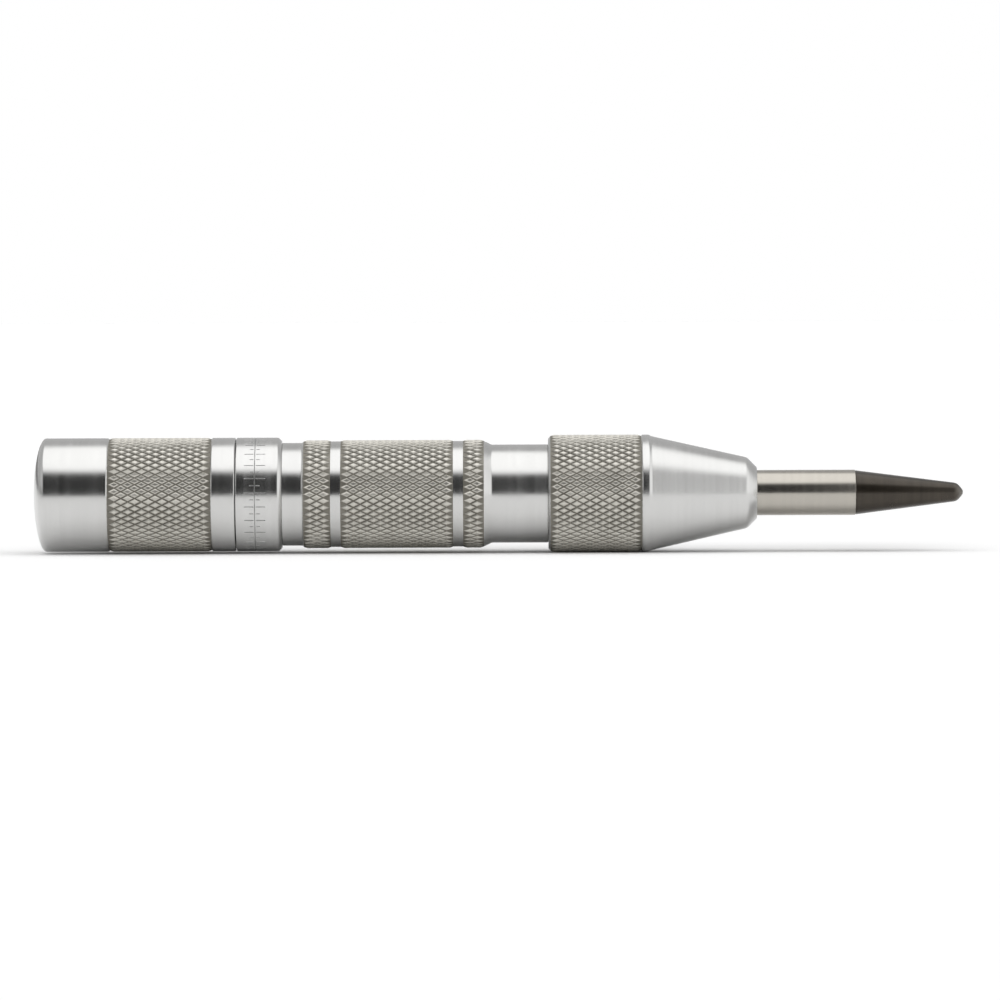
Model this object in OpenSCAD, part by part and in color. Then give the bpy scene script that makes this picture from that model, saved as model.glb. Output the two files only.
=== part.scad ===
// Automatic center punch: a sprung hammer, tripped at the end of the stroke, strikes the punch.
// Millimetres. The tool lies along X, its point towards +X, with Z up and its collar resting on Z = 0.

/* [Cap] */
// Diameter of the cap and of the scale ring
cap_d = 15.9; // [15.4:0.1:17]
// Length of the cap from its crowned end to its rim
cap_l = 28.2; // [26:0.1:32]
// Thickness of the cap's end wall
cap_end_t = 4.7; // [3.5:0.1:6]
// Height of the crown on the cap's end
crown_h = 1.65; // [0.8:0.05:2.2]
// Diameter of the flat in the middle of the crown
pad_d = 5; // [3:0.5:8]
// Chamfer on the cap's rim
rim_edge = 0.3; // [0.1:0.05:0.5]

/* [Scale ring] */
// Length of the graduated ring
ring_l = 6.4; // [5:0.1:8]
// Wall of the ring
ring_wall = 1.35; // [1:0.05:1.6]
// Height of the barrel's shoulder that the ring stands against
ring_shoulder = 0.6; // [0.4:0.05:0.9]
// Chamfer on the edge next to the cap
ring_edge = 0.15; // [0.05:0.05:0.4]
// Bevel on the edge next to the neck
ring_bevel = 0.5; // [0.2:0.05:0.8]

/* [Barrel] */
// Step from the ring's seat down to the thread that carries the cap
tail_step = 0.35; // [0.2:0.05:0.6]
// Chamfer on the end of that thread
tail_edge = 0.5; // [0.2:0.1:1]
// Length of the neck in front of the scale ring
neck_l = 3; // [2:0.1:5]
// Step from the neck up to the knurled grip
grip_step = 0.35; // [0.1:0.05:0.7]
// Depth of the two plain grooves in the grip
groove_depth = 0.15; // [0.1:0.05:0.4]
// Width of each plain groove
groove_w = 1.4; // [0.8:0.1:2]
// Length of the rear knurled band
band_rear_l = 3.8; // [2:0.1:5]
// Length of the main knurled band
band_main_l = 15.7; // [13:0.1:20]
// Length of the front knurled band
band_front_l = 2.9; // [2:0.1:5]
// Length of the taper from the grip to the waist
grip_taper_l = 1.1; // [0.5:0.1:2]
// Step from the grip down to the waist
waist_step = 0.675; // [0.4:0.025:0.9]
// Length of the waist
waist_l = 7.9; // [6:0.1:10]
// Step from the waist down to the thread that carries the nose
spigot_step = 0.375; // [0.2:0.025:0.5]
// Wall of the barrel inside that thread
spigot_wall = 1.05; // [0.8:0.05:1.4]
// Length of that thread
spigot_l = 11; // [7:0.1:12]
// Chamfer on the end of that thread
spigot_edge = 0.4; // [0.2:0.1:0.6]

/* [Nose] */
// Wall of the knurled collar outside the barrel's thread
collar_wall = 1.7; // [1.3:0.05:2.4]
// Length of the collar
collar_l = 14.4; // [13:0.1:17]
// Chamfer on the collar's rear edge
collar_edge = 0.4; // [0.2:0.1:0.8]
// Length of the bevel between the collar and the cone
collar_bevel_l = 0.3; // [0.1:0.1:0.8]
// Height of that bevel
collar_bevel_h = 0.2; // [0.1:0.05:0.5]
// Wall of the cone round the guide bush, at its front edge
cone_wall = 0.7; // [0.5:0.05:1.2]
// Length of the cone
cone_l = 13.3; // [12:0.1:16]
// Width of the flat face round the shank
lip_w = 0.25; // [0.15:0.05:0.6]
// Thickness of the lip that keeps the guide bush in
lip_t = 1.7; // [1:0.1:2.5]
// Length of the bevel in front of the cone
bevel_l = 1.5; // [0.8:0.1:1.6]
// Length of the guide bush
bush_l = 13.4; // [11:0.1:14]
// Wall of the guide bush
bush_t = 0.8; // [0.5:0.05:0.85]

/* [Punch] */
// Diameter of the bright shank
shank_d = 6.35; // [6:0.05:6.6]
// Length of the shank in front of the nose
shank_l = 13.8; // [11:0.1:18]
// Step from the shank up to its guide land
land_step = 0.275; // [0.15:0.025:0.4]
// Diameter of the shank's tail in the holder
shank_tail_d = 4.95; // [4:0.05:5.5]
// Step from the shank down to the point's root
tip_step = 0.075; // [0.025:0.025:0.5]
// Diameter at the end of the point's long taper
tip_end_d = 2.55; // [1.5:0.05:3.5]
// Diameter of the blunted end
tip_flat_d = 0.25; // [0.1:0.05:0.5]
// Length of the point
tip_l = 15.1; // [10:0.1:20]
// Included angle of the point
tip_angle = 110; // [60:5:130]
// Diameter of the point's spigot in the shank
stud_d = 2.95; // [2:0.05:3.5]
// Length of that spigot
stud_l = 5.8; // [4:0.1:8]
// Length of the block that joins the stem and the shank
holder_l = 10; // [9:0.1:11]
// Depth of the stem in that block
stem_depth = 5; // [4:0.1:6]
// Wall between the stem and the shank in that block
holder_web = 0.6; // [0.4:0.1:1]
// Chamfer on the block's edges
holder_edge = 0.3; // [0.1:0.1:0.6]
// Diameter of the cross pin in that block
holder_pin_d = 1.5; // [1:0.1:2]
// How far the cross pin stays below the block's surface
pin_recess = 0.4; // [0.3:0.1:1]

/* [Hammer and trip] */
// How far the punch is pushed in before the hammer trips
stroke = 8; // [6:0.1:8.5]
// Length of the hammer
hammer_l = 23; // [21:0.1:25]
// Chamfer on the hammer's striking face
hammer_edge = 0.4; // [0.2:0.1:0.8]
// Diameter of the stem's end that lifts the hammer
stem_d = 2.6; // [2.2:0.1:2.8]
// Diameter of the stem's end in the holder
stem_front_d = 4; // [3:0.1:4.6]
// Length of the stem's shoulder that takes the blow
anvil_l = 3; // [2:0.1:4]
// Spare depth of the stem's bore in the hammer
bore_spare_l = 1; // [0.5:0.1:2]
// Sideways travel of the trip slide
trip_shift = 1.1; // [1:0.05:1.2]
// Distance from the hammer's face back to the trip slide
slide_setback = 5; // [4:0.1:6]
// Thickness of the trip slide along the tool
slide_t = 3; // [2.5:0.1:3.5]
// Width of the trip slide
slide_w = 3.5; // [3.2:0.1:4]
// Chamfer on the trip slide's edge that rides the cam
slide_edge = 0.4; // [0.2:0.1:0.6]
// Wall of the hammer under the trip slide's slot
slot_floor_t = 0.9; // [0.8:0.05:1.1]
// Diameter of the trip spring's pockets
pocket_d = 1.7; // [1.5:0.1:2]
// Depth of its pocket in the hammer
pocket_low_h = 0.4; // [0.3:0.05:0.5]
// Wall of the cam sleeve in front of its taper
cam_wall = 0.5; // [0.4:0.05:0.6]
// Length of the cam sleeve behind its taper
cam_land_l = 0.5; // [0.3:0.1:1]
// Thickness of the stop ring
stop_t = 2; // [1.5:0.1:2.5]
// Thickness of the snap ring
snap_t = 1; // [0.6:0.1:1.4]
// Depth of the snap ring in its groove
snap_depth = 0.4; // [0.2:0.05:0.5]
// Height of the snap ring above its groove
snap_height = 0.7; // [0.5:0.05:0.9]
// Opening of the snap ring, in degrees
snap_gap = 50; // [30:5:90]

/* [Springs] */
// Wire of the main spring
main_wire = 1.2; // [1:0.05:1.3]
// Coils of the main spring
main_coils = 11; // [8:1:12]
// Wire of the return spring
return_wire = 0.7; // [0.5:0.05:0.8]
// Coils of the return spring
return_coils = 8; // [6:1:9]
// Length of the return spring
return_l = 15.7; // [15:0.1:17]
// Wire of the trip spring
trip_wire = 0.25; // [0.2:0.05:0.3]
// Coils of the trip spring
trip_coils = 3; // [2:1:3]
// Thickness of the thrust washer
washer_t = 1.5; // [1:0.1:2]
// Gap round the thrust washer in the cap
washer_gap = 0.55; // [0.3:0.05:1]
// Hole in the thrust washer
washer_hole_d = 4; // [2:0.1:6]
// Thickness of the spring seat's flange
seat_t = 2; // [1.5:0.1:3]
// Step from the thrust washer down to the spring seat's flange
seat_step = 0.4; // [0.1:0.05:1]
// Length of the pilot that centres the spring on its seat
seat_pilot_l = 2.8; // [2:0.1:5]
// Length of the pilot that centres the spring on the hammer
hammer_pilot_l = 4; // [2:0.1:5]
// Chamfer on both pilots
pilot_edge = 0.4; // [0.2:0.1:0.8]

/* [Fits] */
// Gap round a sliding or turning piece
run_fit = 0.05; // [0.03:0.01:0.08]
// Gap round a pressed, screwed or pinned piece
press_gap = 0.02; // [0.01:0.01:0.04]
// Gap between faces that meet at the end of a motion
face_gap = 0.1; // [0.05:0.01:0.15]
// Gap round the stem where it passes through a hole
stem_fit = 0.15; // [0.08:0.01:0.2]
// Gap round the stem's shoulder in the stop ring
anvil_fit = 0.2; // [0.1:0.05:0.4]
// Gap between the stem's shoulder and the return spring round it
anvil_gap = 0.6; // [0.3:0.05:1]
// Gap between a spring and what it stands in or on
spring_fit = 0.15; // [0.1:0.01:0.2]
// Gap between the spring seat and the barrel's tail
tail_gap = 0.8; // [0.4:0.1:2]

/* [Hidden] */
$fn = 96;

// Stations along the tool, from the cap's end at 0
ring_rear = cap_l + face_gap;
neck_rear = ring_rear + ring_l;
grip_rear = neck_rear + neck_l;
groove_a = grip_rear + band_rear_l;
band_main = groove_a + groove_w;
groove_b = band_main + band_main_l;
band_front = groove_b + groove_w;
taper_rear = band_front + band_front_l;
waist_rear = taper_rear + grip_taper_l;
nose_rear = waist_rear + waist_l;
cone_rear = nose_rear + collar_l;
bevel_rear = cone_rear + cone_l;
nose_front = bevel_rear + bevel_l;
tip_rear = nose_front + shank_l;
total_l = tip_rear + tip_l;

// Inner stations, worked back from the nose
bush_front = nose_front - lip_t;
nose_stop = bush_front - bush_l;
spigot_front = nose_rear + spigot_l;
holder_front = nose_stop - face_gap;
holder_rear = holder_front - holder_l;
stem_front = holder_rear + stem_depth;
pin_at = holder_rear + stem_depth / 2;
stop_front = holder_rear - return_l;
stop_rear = stop_front - stop_t;
hammer_front = stop_rear - 2 * face_gap;
hammer_rear = hammer_front - hammer_l;
slide_front = hammer_front - slide_setback;
slide_rear = slide_front - slide_t;
taper_end = slide_rear - stroke;
cam_rear = taper_end - cam_land_l;
stem_rear = slide_front + face_gap;
stem_bore_end = slide_front - stroke - bore_spare_l;
anvil_rear = hammer_front + stroke;
shank_rear = stem_front + press_gap + holder_web;
washer_rear = cap_end_t + face_gap / 2;
seat_rear = washer_rear + washer_t + press_gap;
seat_front = seat_rear + seat_t;
tail_rear = seat_front + tail_gap;

// Steps in one turn of a spring, sides of its wire, and the share of a turn's radius left inside its flats
turn_steps = 8;
wire_sides = 6;
flat_share = cos(180 / turn_steps);

// Diameters outside, each from its neighbour
ring_seat_d = cap_d - 2 * ring_wall;
tail_d = ring_seat_d - 2 * tail_step;
neck_d = ring_seat_d + 2 * ring_shoulder;
grip_d = neck_d + 2 * grip_step;
groove_d = grip_d - 2 * groove_depth;
waist_d = grip_d - 2 * waist_step;
spigot_d = waist_d - 2 * spigot_step;
collar_d = spigot_d + 2 * collar_wall;
cone_rear_d = collar_d - 2 * collar_bevel_h;
tip_root_d = shank_d - 2 * tip_step;
axis_z = max(collar_d, cap_d, grip_d) / 2;

// Radii inside, from the walls and fits
cap_bore_r = tail_d / 2 + run_fit;
washer_r = cap_bore_r - washer_gap;
seat_r = washer_r - seat_step;
chamber_r = spigot_d / 2 - spigot_wall;
bore_r = chamber_r - cam_wall - trip_shift;
hammer_r = bore_r - run_fit;
holder_r = chamber_r - run_fit;
land_r = shank_d / 2 + land_step;
lip_hole_r = land_r + 2 * run_fit;
bush_r = land_r + run_fit + bush_t;
snap_in_r = chamber_r - snap_height;
stem_bore_r = stem_d / 2 + stem_fit;

// The springs and what stands inside them
main_r = bore_r - spring_fit - main_wire / 2;
pilot_r = (main_r - main_wire / 2) * flat_share - spring_fit;
return_r = snap_in_r - spring_fit - return_wire / 2;
anvil_r = (return_r - return_wire / 2) * flat_share - anvil_gap;

// The trip slide and its slot, with heights from the tool's axis
slide_r = hammer_r - run_fit;
slot_z = slot_floor_t - hammer_r;
slide_low_z = slot_z + trip_shift + face_gap;
slide_wall = trip_shift - stem_bore_r - slide_low_z;
pocket_high_h = slide_wall / 2;

// Places a piece that is drawn along Z from the cap's end
module along() {
    translate([-total_l / 2, 0, axis_z])
        rotate([0, 90, 0])
            children();
}

// Places a piece that is drawn round the axis at one station, with Z up
module at_station(s) {
    translate([s - total_l / 2, 0, axis_z])
        children();
}

// A turned piece from its half outline of [radius, station] points
module turned(outline) {
    along()
        rotate_extrude()
            polygon(outline);
}

// A tube from one station to another
module tube(outer, inner, from, to) {
    turned([[inner, from], [outer, from], [outer, to], [inner, to]]);
}

// Centre line of a spring with even turns
function coil_line(coils, radius, height) =
    let (steps = coils * turn_steps)
    [for (i = [0 : steps])
        let (a = 360 * i / turn_steps)
        [radius * cos(a), radius * sin(a), height * i / steps]];

// Least gap between turns, measured on the centre line
function coil_gap(line, wire) =
    min([for (i = [0 : len(line) - 1])
        for (j = [i + turn_steps / 2 : 1 : len(line) - 1])
            norm(line[i] - line[j])]) - wire;

// A coil spring that stands on Z = 0 and is length high over its wire
module coil(coils, radius, wire, length) {
    line = coil_line(coils, radius, length - wire);
    last = len(line) - 1;
    points = [for (i = [0 : last])
        let (a = atan2(line[i][1], line[i][0]))
        for (k = [0 : wire_sides - 1])
            let (t = 360 * k / wire_sides, r = radius + wire / 2 * cos(t))
            [r * cos(a), r * sin(a), line[i][2] + wire / 2 * sin(t)]];
    sides = [for (i = [0 : last - 1])
        for (k = [0 : wire_sides - 1])
            let (n = (k + 1) % wire_sides, p = i * wire_sides, q = p + wire_sides)
            each [[p + k, q + n, p + n], [p + k, q + k, q + n]]];
    near_end = [for (k = [1 : wire_sides - 2]) [0, k, k + 1]];
    e = last * wire_sides;
    far_end = [for (k = [1 : wire_sides - 2]) [e, e + k + 1, e + k]];
    echo("least gap between turns", coil_gap(line, wire));
    translate([0, 0, wire / 2])
        polyhedron(points, concat(sides, near_end, far_end));
}

// Outline of the cap's crowned end, from the flat out to the side
function crown_points() =
    let (start = asin(pad_d / cap_d), depth = crown_h / cos(start))
    [for (i = [0 : 8])
        let (t = start + (90 - start) * i / 8)
        [cap_d / 2 * sin(t), depth * (cos(start) - cos(t))]];

module adjusting_cap() {
    color("#c9c9c6")
        turned(concat([[0, 0]], crown_points(), [
            [cap_d / 2, cap_l - rim_edge],
            [cap_d / 2 - rim_edge, cap_l],
            [cap_bore_r + rim_edge, cap_l],
            [cap_bore_r, cap_l - rim_edge],
            [cap_bore_r, cap_end_t],
            [0, cap_end_t]]));
}

module thrust_washer() {
    color("#8f9092")
        tube(washer_r, washer_hole_d / 2, washer_rear, washer_rear + washer_t);
}

module spring_seat() {
    color("#8f9092")
        turned([
            [0, seat_rear],
            [seat_r, seat_rear],
            [seat_r, seat_front],
            [pilot_r, seat_front],
            [pilot_r, seat_front + seat_pilot_l - pilot_edge],
            [pilot_r - pilot_edge, seat_front + seat_pilot_l],
            [0, seat_front + seat_pilot_l]]);
}

module main_spring() {
    color("#77797c")
        along()
            translate([0, 0, seat_front + press_gap])
                coil(main_coils, main_r, main_wire, hammer_rear - seat_front - 2 * press_gap);
}

module barrel() {
    snap_groove_r = chamber_r + snap_depth + press_gap;
    snap_groove_front = stop_front + snap_t + 2 * press_gap;
    color("#c4c4c0")
        turned([
            [bore_r, tail_rear],
            [tail_d / 2 - tail_edge, tail_rear],
            [tail_d / 2, tail_rear + tail_edge],
            [tail_d / 2, ring_rear],
            [ring_seat_d / 2, ring_rear],
            [ring_seat_d / 2, neck_rear],
            [neck_d / 2, neck_rear],
            [neck_d / 2, grip_rear],
            [grip_d / 2, grip_rear],
            [grip_d / 2, groove_a],
            [groove_d / 2, groove_a],
            [groove_d / 2, band_main],
            [grip_d / 2, band_main],
            [grip_d / 2, groove_b],
            [groove_d / 2, groove_b],
            [groove_d / 2, band_front],
            [grip_d / 2, band_front],
            [grip_d / 2, taper_rear],
            [waist_d / 2, waist_rear],
            [waist_d / 2, nose_rear],
            [spigot_d / 2, nose_rear],
            [spigot_d / 2, spigot_front - spigot_edge],
            [spigot_d / 2 - spigot_edge, spigot_front],
            [chamber_r, spigot_front],
            [chamber_r, snap_groove_front],
            [snap_groove_r, snap_groove_front],
            [snap_groove_r, stop_front],
            [chamber_r, stop_front],
            [chamber_r, cam_rear],
            [bore_r, cam_rear]]);
}

module scale_ring() {
    inner = ring_seat_d / 2 + press_gap;
    color("#cdcdca")
        turned([
            [inner, ring_rear],
            [cap_d / 2 - ring_edge, ring_rear],
            [cap_d / 2, ring_rear + ring_edge],
            [cap_d / 2, neck_rear - ring_bevel],
            [cap_d / 2 - ring_bevel, neck_rear],
            [inner, neck_rear]]);
}

module hammer() {
    slot_w = slide_w + 2 * run_fit;
    color("#7d7f83")
        difference() {
            turned([
                [0, hammer_rear - hammer_pilot_l],
                [pilot_r - pilot_edge, hammer_rear - hammer_pilot_l],
                [pilot_r, hammer_rear - hammer_pilot_l + pilot_edge],
                [pilot_r, hammer_rear],
                [hammer_r, hammer_rear],
                [hammer_r, hammer_front - hammer_edge],
                [hammer_r - hammer_edge, hammer_front],
                [stem_bore_r, hammer_front],
                [stem_bore_r, stem_bore_end],
                [0, stem_bore_end]]);
            at_station(slide_rear - run_fit)
                translate([0, -slot_w / 2, slot_z])
                    cube([slide_t + 2 * run_fit, slot_w, 2 * hammer_r]);
            at_station(slide_rear + slide_t / 2)
                translate([0, 0, slot_z - pocket_low_h])
                    cylinder(d = pocket_d, h = 2 * pocket_low_h);
        }
}

module trip_slide() {
    color("#9a9c9f")
        difference() {
            intersection() {
                at_station(slide_rear)
                    translate([0, -slide_w / 2, slide_low_z])
                        cube([slide_t, slide_w, 2 * hammer_r]);
                translate([0, 0, trip_shift])
                    turned([
                        [0, slide_rear],
                        [slide_r - slide_edge, slide_rear],
                        [slide_r, slide_rear + slide_edge],
                        [slide_r, slide_front],
                        [0, slide_front]]);
            }
            translate([0, 0, trip_shift])
                tube(stem_bore_r, 0, slide_rear - slide_t, slide_front + slide_t);
            at_station(slide_rear + slide_t / 2)
                translate([0, 0, slide_low_z - pocket_high_h])
                    cylinder(d = pocket_d, h = 2 * pocket_high_h);
        }
}

module trip_spring() {
    spring_l = pocket_low_h + trip_shift + face_gap + pocket_high_h - 2 * press_gap;
    color("#77797c")
        at_station(slide_rear + slide_t / 2)
            translate([0, 0, slot_z - pocket_low_h + press_gap])
                coil(trip_coils, (pocket_d - trip_wire) / 2 - spring_fit, trip_wire, spring_l);
}

module cam_sleeve() {
    outer = chamber_r - press_gap;
    small = bore_r + press_gap;
    large = small + trip_shift;
    color("#85878a")
        turned([
            [small, cam_rear + press_gap],
            [outer, cam_rear + press_gap],
            [outer, stop_rear - press_gap],
            [large, stop_rear - press_gap],
            [large, slide_rear],
            [small, taper_end]]);
}

module stop_ring() {
    color("#8a8c8f")
        tube(chamber_r - press_gap, anvil_r + anvil_fit, stop_rear, stop_front);
}

module retaining_ring() {
    outer = chamber_r + snap_depth;
    color("#6c6e71")
        along()
            translate([0, 0, stop_front + press_gap])
                rotate([0, 0, snap_gap / 2])
                    rotate_extrude(angle = 360 - snap_gap)
                        polygon([[snap_in_r, 0], [outer, 0], [outer, snap_t], [snap_in_r, snap_t]]);
}

// The cross pin's hole, or the pin itself
module across(d, length) {
    at_station(pin_at)
        rotate([90, 0, 0])
            cylinder(d = d, h = length, center = true);
}

module stem() {
    color("#8c8e92")
        difference() {
            turned([
                [0, stem_rear],
                [stem_d / 2, stem_rear],
                [stem_d / 2, anvil_rear],
                [anvil_r, anvil_rear],
                [anvil_r, anvil_rear + anvil_l],
                [stem_front_d / 2, anvil_rear + anvil_l],
                [stem_front_d / 2, stem_front],
                [0, stem_front]]);
            across(holder_pin_d + 2 * press_gap, 4 * holder_r);
        }
}

module return_spring() {
    color("#77797c")
        along()
            translate([0, 0, stop_front + press_gap])
                coil(return_coils, return_r, return_wire, return_l - 2 * press_gap);
}

module punch_holder() {
    socket_r = stem_front_d / 2 + press_gap;
    tail_r = shank_tail_d / 2 + press_gap;
    color("#86888c")
        difference() {
            turned([
                [socket_r, holder_rear],
                [holder_r - holder_edge, holder_rear],
                [holder_r, holder_rear + holder_edge],
                [holder_r, holder_front - holder_edge],
                [holder_r - holder_edge, holder_front],
                [tail_r, holder_front],
                [tail_r, shank_rear],
                [0, shank_rear],
                [0, stem_front + press_gap],
                [socket_r, stem_front + press_gap]]);
            across(holder_pin_d + 2 * press_gap, 4 * holder_r);
        }
}

module holder_pin() {
    color("#a3a5a8")
        across(holder_pin_d, 2 * (holder_r - pin_recess));
}

module nose_piece() {
    thread_r = spigot_d / 2 + press_gap;
    color("#c9c9c6")
        turned([
            [thread_r, nose_rear],
            [collar_d / 2 - collar_edge, nose_rear],
            [collar_d / 2, nose_rear + collar_edge],
            [collar_d / 2, cone_rear - collar_bevel_l],
            [cone_rear_d / 2, cone_rear],
            [bush_r + cone_wall, bevel_rear],
            [lip_hole_r + lip_w, nose_front],
            [lip_hole_r, nose_front],
            [lip_hole_r, bush_front],
            [bush_r + press_gap, bush_front],
            [bush_r + press_gap, nose_stop],
            [chamber_r, nose_stop],
            [chamber_r, spigot_front + press_gap],
            [thread_r, spigot_front + press_gap]]);
}

module guide_bush() {
    color("#b08a4c")
        tube(bush_r, land_r + run_fit, nose_stop, bush_front - press_gap);
}

module punch_shank() {
    socket_r = stud_d / 2 + press_gap;
    socket_end = tip_rear - stud_l - press_gap;
    color("#b9b7b2")
        turned([
            [0, shank_rear + press_gap],
            [shank_tail_d / 2, shank_rear + press_gap],
            [shank_tail_d / 2, holder_front],
            [land_r, holder_front],
            [land_r, nose_front],
            [shank_d / 2, nose_front],
            [shank_d / 2, tip_rear],
            [socket_r, tip_rear],
            [socket_r, socket_end],
            [0, socket_end]]);
}

module punch_tip() {
    point_l = (tip_end_d - tip_flat_d) / 2 / tan(tip_angle / 2);
    color("#332d29")
        turned([
            [0, tip_rear - stud_l],
            [stud_d / 2, tip_rear - stud_l],
            [stud_d / 2, tip_rear],
            [tip_root_d / 2, tip_rear],
            [tip_end_d / 2, total_l - point_l],
            [tip_flat_d / 2, total_l],
            [0, total_l]]);
}

adjusting_cap();
thrust_washer();
spring_seat();
main_spring();
barrel();
scale_ring();
hammer();
trip_slide();
trip_spring();
cam_sleeve();
stop_ring();
retaining_ring();
stem();
return_spring();
punch_holder();
holder_pin();
nose_piece();
guide_bush();
punch_shank();
punch_tip();
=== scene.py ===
import math

import bmesh
import bpy
from mathutils import Matrix, Vector


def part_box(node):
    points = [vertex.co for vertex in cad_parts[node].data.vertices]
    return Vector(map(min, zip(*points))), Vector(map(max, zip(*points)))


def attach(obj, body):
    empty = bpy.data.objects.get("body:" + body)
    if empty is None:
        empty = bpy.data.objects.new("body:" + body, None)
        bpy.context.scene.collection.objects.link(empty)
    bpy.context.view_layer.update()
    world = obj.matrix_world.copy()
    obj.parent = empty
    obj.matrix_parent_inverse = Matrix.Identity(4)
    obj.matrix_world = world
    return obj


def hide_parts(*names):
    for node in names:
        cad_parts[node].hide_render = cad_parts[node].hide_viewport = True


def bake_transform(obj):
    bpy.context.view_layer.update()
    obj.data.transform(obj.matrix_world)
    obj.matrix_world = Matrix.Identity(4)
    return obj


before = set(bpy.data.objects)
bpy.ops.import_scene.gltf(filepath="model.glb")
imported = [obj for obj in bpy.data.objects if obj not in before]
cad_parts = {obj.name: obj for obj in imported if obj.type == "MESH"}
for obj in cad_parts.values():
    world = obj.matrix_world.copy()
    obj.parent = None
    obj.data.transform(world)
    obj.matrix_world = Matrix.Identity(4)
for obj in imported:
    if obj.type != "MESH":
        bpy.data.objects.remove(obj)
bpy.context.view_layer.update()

bl_info = {
    "name": "Automatic center punch",
    "version": (1, 0, 0),
    "blender": (4, 5, 0),
    "location": "View3D > Sidebar > Center punch",
    "description": "Dresses the packed frame of an automatic center punch with turned and knurled pieces",
    "category": "Add Mesh",
}

# Stations run in millimetres from the cap's end, and radii from the tool's axis
MM = 0.001
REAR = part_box("adjusting_cap")[0].x
AXIS_Z = (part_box("barrel")[0].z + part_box("barrel")[1].z) / 2
AXIS = Vector((0, 0, AXIS_Z))
TURN = 2 * math.pi

# Vertices nearer to each other than this are merged, in metres
MERGE = 0.000002

# A vertex counts as on a row or a radius within this, in rows or millimetres
NEAR = 0.02

# Run from the end of a knurled band up to the plain surface beside it, in millimetres
SHOULDER = 0.16

# Height of the relief in the finishes, in metres
RELIEF = 0.00002


def across(node):
    """Widest radius of a CAD node, in millimetres."""
    low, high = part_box(node)
    return max(high.y - low.y, high.z - low.z) / 2 / MM


def span(node):
    """First and last station of a CAD node."""
    low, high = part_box(node)
    return (low.x - REAR) / MM, (high.x - REAR) / MM


class PunchSizes(bpy.types.PropertyGroup):
    """Sizes of the detail that the frame leaves plain."""

    knurl_depth: bpy.props.FloatProperty(
        name="Knurl depth", description="Depth of the diamond knurl below its crests",
        default=0.00018, min=0.00005, max=0.0003, unit="LENGTH", precision=5)
    knurl_row: bpy.props.FloatProperty(
        name="Knurl row", description="Half the length of one diamond along the tool",
        default=0.00093, min=0.0005, max=0.0015, unit="LENGTH", precision=5)
    knurl_pitch: bpy.props.FloatProperty(
        name="Knurl pitch", description="Width of one diamond round the tool",
        default=0.00097, min=0.0006, max=0.002, unit="LENGTH", precision=5)
    crest: bpy.props.FloatProperty(
        name="Crest flat", description="Size of the flat on each diamond, as a share of the diamond",
        default=46, min=5, max=80, subtype="PERCENTAGE")
    thread_pitch: bpy.props.FloatProperty(
        name="Thread pitch", description="Travel of the cap in one turn",
        default=0.001, min=0.0005, max=0.002, unit="LENGTH", precision=5)
    thread_depth: bpy.props.FloatProperty(
        name="Thread depth", description="Depth of the threads on the barrel",
        default=0.0004, min=0.0001, max=0.0006, unit="LENGTH", precision=5)
    edge: bpy.props.FloatProperty(
        name="Broken edge", description="Length eased away on both sides of a turned edge",
        default=0.00014, min=0.00002, max=0.0004, unit="LENGTH", precision=5)
    graduations: bpy.props.IntProperty(
        name="Graduations", description="Engraved lines round the scale ring", default=50, min=10, max=100)
    line_width: bpy.props.FloatProperty(
        name="Line width", description="Width of an engraved line",
        default=0.00013, min=0.00005, max=0.0004, unit="LENGTH", precision=5)
    line_depth: bpy.props.FloatProperty(
        name="Line depth", description="Depth of an engraved line",
        default=0.00007, min=0.00002, max=0.0002, unit="LENGTH", precision=5)


class PunchFinishes(bpy.types.PropertyGroup):
    """Colours of the finishes."""

    chrome: bpy.props.FloatVectorProperty(
        name="Satin chrome", description="Plating on the smooth bands",
        default=(0.64, 0.638, 0.628), size=3, subtype="COLOR", min=0, max=1)
    knurl: bpy.props.FloatVectorProperty(
        name="Knurl crest", description="Plating on the crests of the knurl",
        default=(0.625, 0.605, 0.553), size=3, subtype="COLOR", min=0, max=1)
    # Painted shade: the knurl's grooves are coloured darker the deeper they lie below the crests
    groove_shade: bpy.props.FloatVectorProperty(
        name="Knurl groove", description="Dull film at the bottom of the knurl",
        default=(0.218, 0.206, 0.175), size=3, subtype="COLOR", min=0, max=1)
    ink: bpy.props.FloatVectorProperty(
        name="Graduation fill", description="Grey fill in the engraved lines",
        default=(0.44, 0.44, 0.435), size=3, subtype="COLOR", min=0, max=1)
    ground: bpy.props.FloatVectorProperty(
        name="Ground steel", description="Bare ground steel of the shank",
        default=(0.48, 0.455, 0.41), size=3, subtype="COLOR", min=0, max=1)
    oxide: bpy.props.FloatVectorProperty(
        name="Black oxide", description="Dark hardened point",
        default=(0.046, 0.037, 0.027), size=3, subtype="COLOR", min=0, max=1)
    hard: bpy.props.FloatVectorProperty(
        name="Hardened steel", description="Hammer, stem and other inner pieces",
        default=(0.46, 0.46, 0.47), size=3, subtype="COLOR", min=0, max=1)
    wire: bpy.props.FloatVectorProperty(
        name="Spring wire", description="Drawn wire of the springs and the snap ring",
        default=(0.36, 0.37, 0.38), size=3, subtype="COLOR", min=0, max=1)
    bronze: bpy.props.FloatVectorProperty(
        name="Bronze", description="Guide bush",
        default=(0.60, 0.43, 0.20), size=3, subtype="COLOR", min=0, max=1)
    floor: bpy.props.FloatVectorProperty(
        name="Floor", description="Pale floor under the tool",
        default=(0.90, 0.90, 0.90), size=3, subtype="COLOR", min=0, max=1)


# Nodes of materials

def feed(tree, node, inputs):
    """Links or sets the inputs of a node."""
    for name, value in inputs.items():
        socket = node.inputs[name]
        if isinstance(value, bpy.types.NodeSocket):
            tree.links.new(value, socket)
        else:
            socket.default_value = value


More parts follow.
